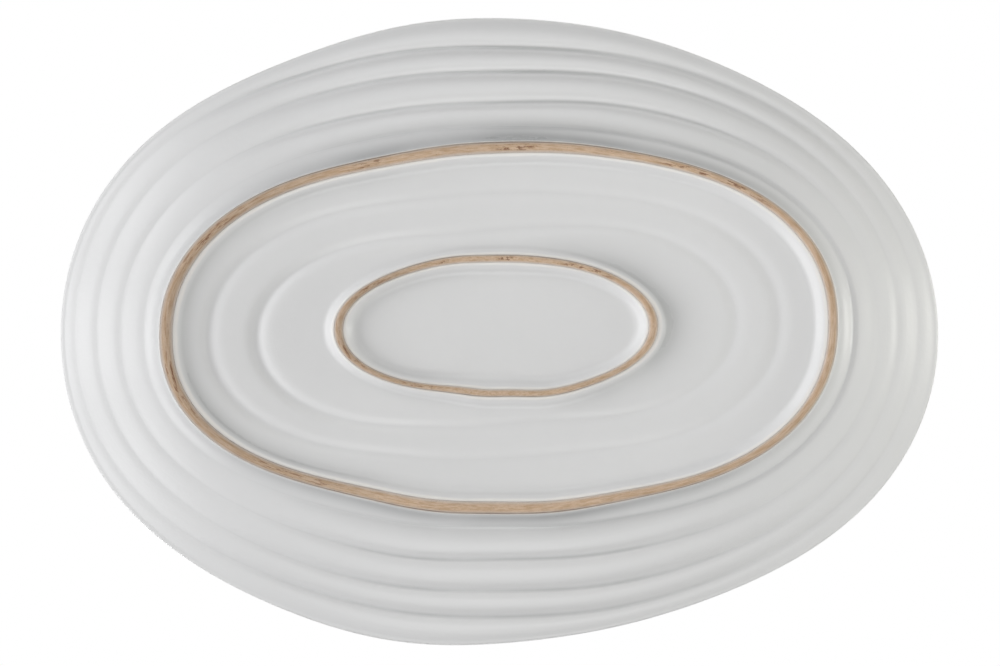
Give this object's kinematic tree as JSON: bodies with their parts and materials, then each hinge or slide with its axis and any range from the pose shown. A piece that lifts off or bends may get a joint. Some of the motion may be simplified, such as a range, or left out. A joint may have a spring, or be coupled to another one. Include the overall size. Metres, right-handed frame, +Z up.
{
  "type": "oval serving platter",
  "caption": "Oval glazed ceramic serving platter with a sloping rim, throwing marks under it, and an outer and an inner bare-clay foot ring to stand on.",
  "frame": {"origin": "on the table, below the middle of the platter", "axes": "+Z up with the platter standing on its foot rings; X along the long way, Y across it"},
  "size_m": [0.4292, 0.3059, 0.034],
  "materials": {
    "bare_clay": "matt, dry, finely streaked along the ring",
    "fired_body": "matt, hidden under the glaze",
    "white_glaze": "satin white glaze over throwing marks"
  },
  "bodies": {
    "root": {"clay_body": "fired_body", "outer_foot_ring": "bare_clay", "inner_foot_ring": "bare_clay", "face_glaze": "white_glaze", "rim_back_glaze": "white_glaze", "base_glaze": "white_glaze", "centre_glaze": "white_glaze"}
  },
  "joints": []
}
